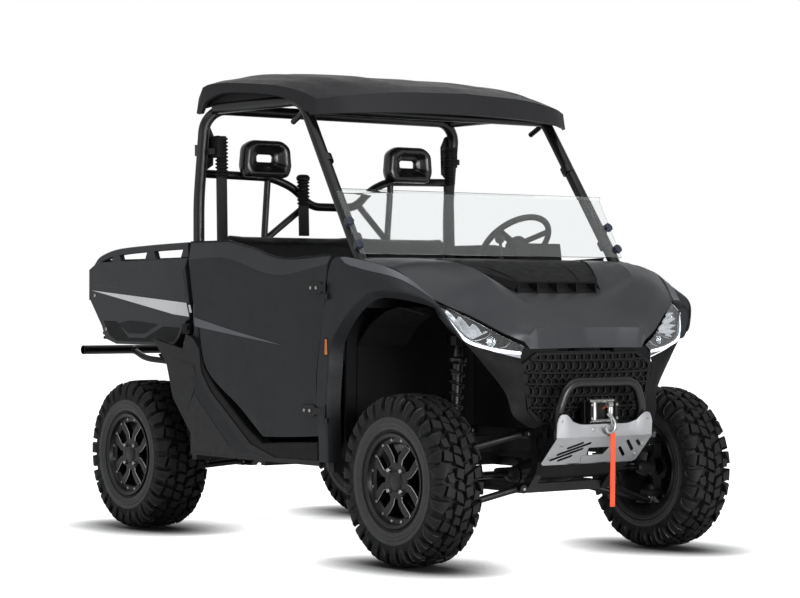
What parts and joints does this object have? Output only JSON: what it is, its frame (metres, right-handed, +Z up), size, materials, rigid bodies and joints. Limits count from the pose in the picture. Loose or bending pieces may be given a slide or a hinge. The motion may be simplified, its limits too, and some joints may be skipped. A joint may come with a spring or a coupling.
{
  "type": "side by side utv",
  "caption": "Side-by-side utility vehicle with an open cab, half windscreen, half doors, tipping cargo bed, front winch gear and all-terrain tyres.",
  "frame": {"origin": "on the ground under the middle of the vehicle", "axes": "+X forward, +Y to the left, +Z up"},
  "size_m": [3.1599, 1.55, 2.081],
  "materials": {
    "cage_black": "satin black powder coat",
    "frame_black": "black chassis paint",
    "body_charcoal": "satin metallic charcoal",
    "door_dark": "dark satin moulding",
    "trim_black": "grained black plastic",
    "roof_black": "matte dark plastic",
    "panel_grey": "light metallic grey",
    "floor_black": "grained black liner",
    "seat_vinyl": "black grained vinyl",
    "belt_web": "black woven belt",
    "lamp_lens": "clear lens over dark housing",
    "white_light": "white light guide",
    "red_lens": "red lens",
    "orange_lens": "orange reflector",
    "stripe_white": "white film",
    "skid_alloy": "brushed",
    "bare_steel": "zinc plated",
    "strap_orange": "orange webbing",
    "screen_clear": "clear hard-coated sheet",
    "tyre_rubber": "matte tread rubber",
    "wheel_alloy": "black with machined edges",
    "shock_steel": "black springs and bodies",
    "cast_case": "dark cast metal",
    "radiator_fin": "dark finned core"
  },
  "bodies": {
    "chassis": {"frame_front": "frame_black", "frame_rear": "frame_black", "frame_floor": "frame_black", "cage_front": "cage_black", "cage_rear": "cage_black", "roof": "roof_black", "hood": "body_charcoal", "hood_scoop": "trim_black", "dashboard": "trim_black", "floor_tub": "floor_black", "fenders": "body_charcoal", "fender_inserts": "panel_grey", "headlamps": "lamp_lens", "lamp_strips": "white_light", "grille": "trim_black", "fascia": "trim_black", "radiator": "radiator_fin", "bull_bar": "cage_black", "skid_plate": "skid_alloy", "winch_fairlead": "bare_steel", "hook_strap": "strap_orange", "door_hinges": "frame_black", "quarter_panels": "trim_black", "sill_trims": "trim_black", "side_markers": "orange_lens", "wheel_liners": "floor_black", "seats": "seat_vinyl", "headrests": "seat_vinyl", "seat_belts": "belt_web", "engine_block": "cast_case", "windscreen": "screen_clear", "screen_clamps": "trim_black", "rear_bumper": "cage_black", "hitch_receiver": "frame_black", "rear_carriers": "cast_case", "suspension_arms": "frame_black", "shocks": "shock_steel", "half_shafts": "bare_steel", "gearcases": "cast_case"},
    "steering_wheel": {"steering_wheel": "seat_vinyl"},
    "tie_rods": {"tie_rods": "bare_steel"},
    "left_knuckle": {"left_knuckle": "cast_case"},
    "right_knuckle": {"right_knuckle": "cast_case"},
    "left_door": {"left_door": "door_dark"},
    "right_door": {"right_door": "door_dark"},
    "tailgate": {"tailgate": "body_charcoal"},
    "bed": {"bed_tub": "floor_black", "bed_sides": "body_charcoal", "bed_stripes": "stripe_white", "tail_lamps": "red_lens"},
    "front_left_wheel": {"front_left_tyre": "tyre_rubber", "front_left_wheel": "wheel_alloy"},
    "front_right_wheel": {"front_right_tyre": "tyre_rubber", "front_right_wheel": "wheel_alloy"},
    "rear_left_wheel": {"rear_left_tyre": "tyre_rubber", "rear_left_wheel": "wheel_alloy"},
    "rear_right_wheel": {"rear_right_tyre": "tyre_rubber", "rear_right_wheel": "wheel_alloy"}
  },
  "joints": [
    {"name": "steer_left", "type": "hinge", "parent": "chassis", "child": "left_knuckle", "pos_m": [1.155, 0.6, 0.343], "axis": [0, 0, 1], "range_deg": [-30, 30]},
    {"name": "steer_right", "type": "hinge", "parent": "chassis", "child": "right_knuckle", "pos_m": [1.155, -0.6, 0.343], "axis": [0, 0, 1], "range_deg": [-30, 30]},
    {"name": "steering_wheel_turn", "type": "hinge", "parent": "chassis", "child": "steering_wheel", "pos_m": [0.56, 0.35, 1.3], "axis": [0.7122, 0, -0.702], "range_deg": [-270, 270]},
    {"name": "tie_rod_slide", "type": "slide", "parent": "chassis", "child": "tie_rods", "axis": [0, 1, 0], "range_m": [-0.056, 0.056]},
    {"name": "front_left_spin", "type": "hinge", "parent": "left_knuckle", "child": "front_left_wheel", "pos_m": [1.155, 0.6625, 0.343], "axis": [0, 1, 0], "continuous": true},
    {"name": "front_right_spin", "type": "hinge", "parent": "right_knuckle", "child": "front_right_wheel", "pos_m": [1.155, -0.6625, 0.343], "axis": [0, 1, 0], "continuous": true},
    {"name": "rear_left_spin", "type": "hinge", "parent": "chassis", "child": "rear_left_wheel", "pos_m": [-0.915, 0.6425, 0.343], "axis": [0, 1, 0], "continuous": true},
    {"name": "rear_right_spin", "type": "hinge", "parent": "chassis", "child": "rear_right_wheel", "pos_m": [-0.915, -0.6425, 0.343], "axis": [0, 1, 0], "continuous": true},
    {"name": "left_door_swing", "type": "hinge", "parent": "chassis", "child": "left_door", "pos_m": [0.698, 0.7685, 0.8], "axis": [0, 0, -1], "range_deg": [0, 70]},
    {"name": "right_door_swing", "type": "hinge", "parent": "chassis", "child": "right_door", "pos_m": [0.698, -0.7685, 0.8], "axis": [0, 0, 1], "range_deg": [0, 70]},
    {"name": "bed_tip", "type": "hinge", "parent": "chassis", "child": "bed", "pos_m": [-1.21, 0, 0.846], "axis": [0, -1, 0], "range_deg": [0, 40]},
    {"name": "tailgate_drop", "type": "hinge", "parent": "bed", "child": "tailgate", "pos_m": [-1.352, 0, 0.9], "axis": [0, 1, 0], "range_deg": [-90, 0]}
  ],
  "couplings": [
    {"joint": "steer_right", "follows": "steer_left", "ratio": 1},
    {"joint": "steering_wheel_turn", "follows": "steer_left", "ratio": -9},
    {"joint": "tie_rod_slide", "follows": "steer_left", "m_per_rad": -0.105}
  ]
}
